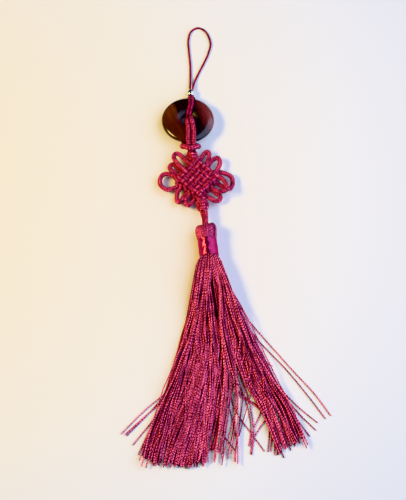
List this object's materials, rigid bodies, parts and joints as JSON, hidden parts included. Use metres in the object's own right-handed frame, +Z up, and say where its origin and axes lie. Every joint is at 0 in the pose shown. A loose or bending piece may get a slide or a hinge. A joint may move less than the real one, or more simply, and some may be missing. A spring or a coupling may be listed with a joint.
{
  "type": "knotted silk tassel with a stone ring",
  "caption": "Hanging charm lying flat: thin cord loop, small metal bead, polished stone ring, woven knot with looped ears, and a wrapped tassel whose threads fan out",
  "frame": {"origin": "on the table, in the middle of the footprint of everything but the hanging loop", "axes": "+Z up from the table that it lies on, +Y from the tassel's threads towards the hanging loop, +X to the right seen from above"},
  "size_m": [0.0986, 0.2473, 0.0108],
  "materials": {
    "satin_cord": "satin braid",
    "thread": "silky twisted thread",
    "stone": "polished",
    "silver": "polished"
  },
  "bodies": {
    "root": {"hanging_loop": "satin_cord", "bead": "silver", "hanger_hitch": "satin_cord", "stone_ring": "stone", "knotted_cord": "satin_cord", "tassel": "thread", "head_band": "thread"}
  },
  "joints": []
}
